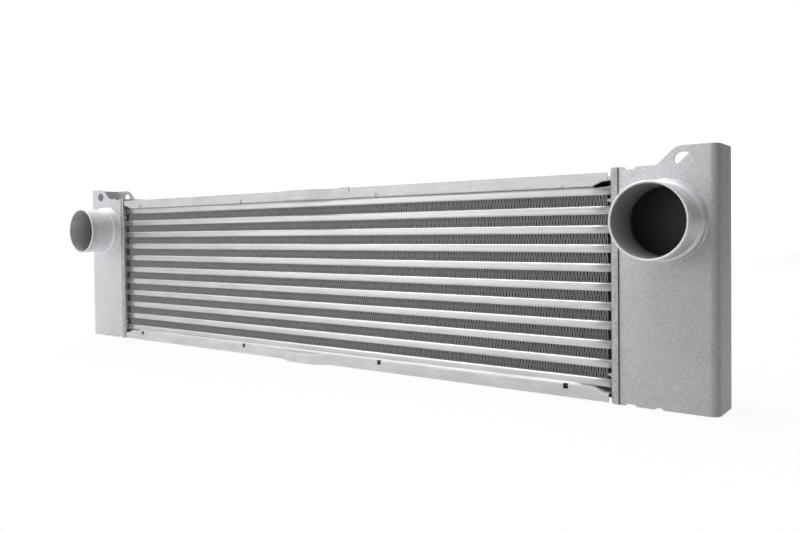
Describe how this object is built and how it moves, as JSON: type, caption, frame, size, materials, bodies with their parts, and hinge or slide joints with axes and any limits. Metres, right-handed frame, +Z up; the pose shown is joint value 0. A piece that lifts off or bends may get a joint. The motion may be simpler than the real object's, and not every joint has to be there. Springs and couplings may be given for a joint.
{
  "type": "intercooler",
  "caption": "Brazed aluminium charge-air cooler: flat tubes and folded fins between box-shaped end tanks with forward-facing hose pipes and slotted mounting ears on top.",
  "frame": {"origin": "centre of the overall footprint, hose pipes included, at the height of the tanks' lower edges", "axes": "+X along the core towards the right tank, -Y the way the hose pipes point (front), +Z up"},
  "size_m": [0.8546, 0.0838, 0.2059],
  "materials": {
    "tube_sheet": "bright rolled, light streaks along the tube",
    "fin_strip": "dull rolled strip, dark in the gaps",
    "inner_strip": "dull rolled strip",
    "plate_sheet": "satin rolled sheet",
    "header_sheet": "satin pressed sheet",
    "tank_sheet": "matt with a fine sparkle",
    "cap_sheet": "matt pressed sheet",
    "hose_pipe": "matt drawn tube, bright rim"
  },
  "bodies": {
    "root": {"tube_01": "tube_sheet", "tube_02": "tube_sheet", "tube_03": "tube_sheet", "tube_04": "tube_sheet", "tube_05": "tube_sheet", "tube_06": "tube_sheet", "tube_07": "tube_sheet", "tube_08": "tube_sheet", "tube_09": "tube_sheet", "tube_10": "tube_sheet", "tube_11": "tube_sheet", "fin_row_01": "fin_strip", "fin_row_02": "fin_strip", "fin_row_03": "fin_strip", "fin_row_04": "fin_strip", "fin_row_05": "fin_strip", "fin_row_06": "fin_strip", "fin_row_07": "fin_strip", "fin_row_08": "fin_strip", "fin_row_09": "fin_strip", "fin_row_10": "fin_strip", "inner_fin_01": "inner_strip", "inner_fin_02": "inner_strip", "inner_fin_03": "inner_strip", "inner_fin_04": "inner_strip", "inner_fin_05": "inner_strip", "inner_fin_06": "inner_strip", "inner_fin_07": "inner_strip", "inner_fin_08": "inner_strip", "inner_fin_09": "inner_strip", "inner_fin_10": "inner_strip", "inner_fin_11": "inner_strip", "top_side_plate": "plate_sheet", "bottom_side_plate": "plate_sheet", "left_header_plate": "header_sheet", "right_header_plate": "header_sheet", "left_tank": "tank_sheet", "right_tank": "tank_sheet", "left_tank_top_cap": "cap_sheet", "left_tank_bottom_cap": "cap_sheet", "right_tank_top_cap": "cap_sheet", "right_tank_bottom_cap": "cap_sheet", "left_hose_pipe": "hose_pipe", "right_hose_pipe": "hose_pipe"}
  },
  "joints": []
}
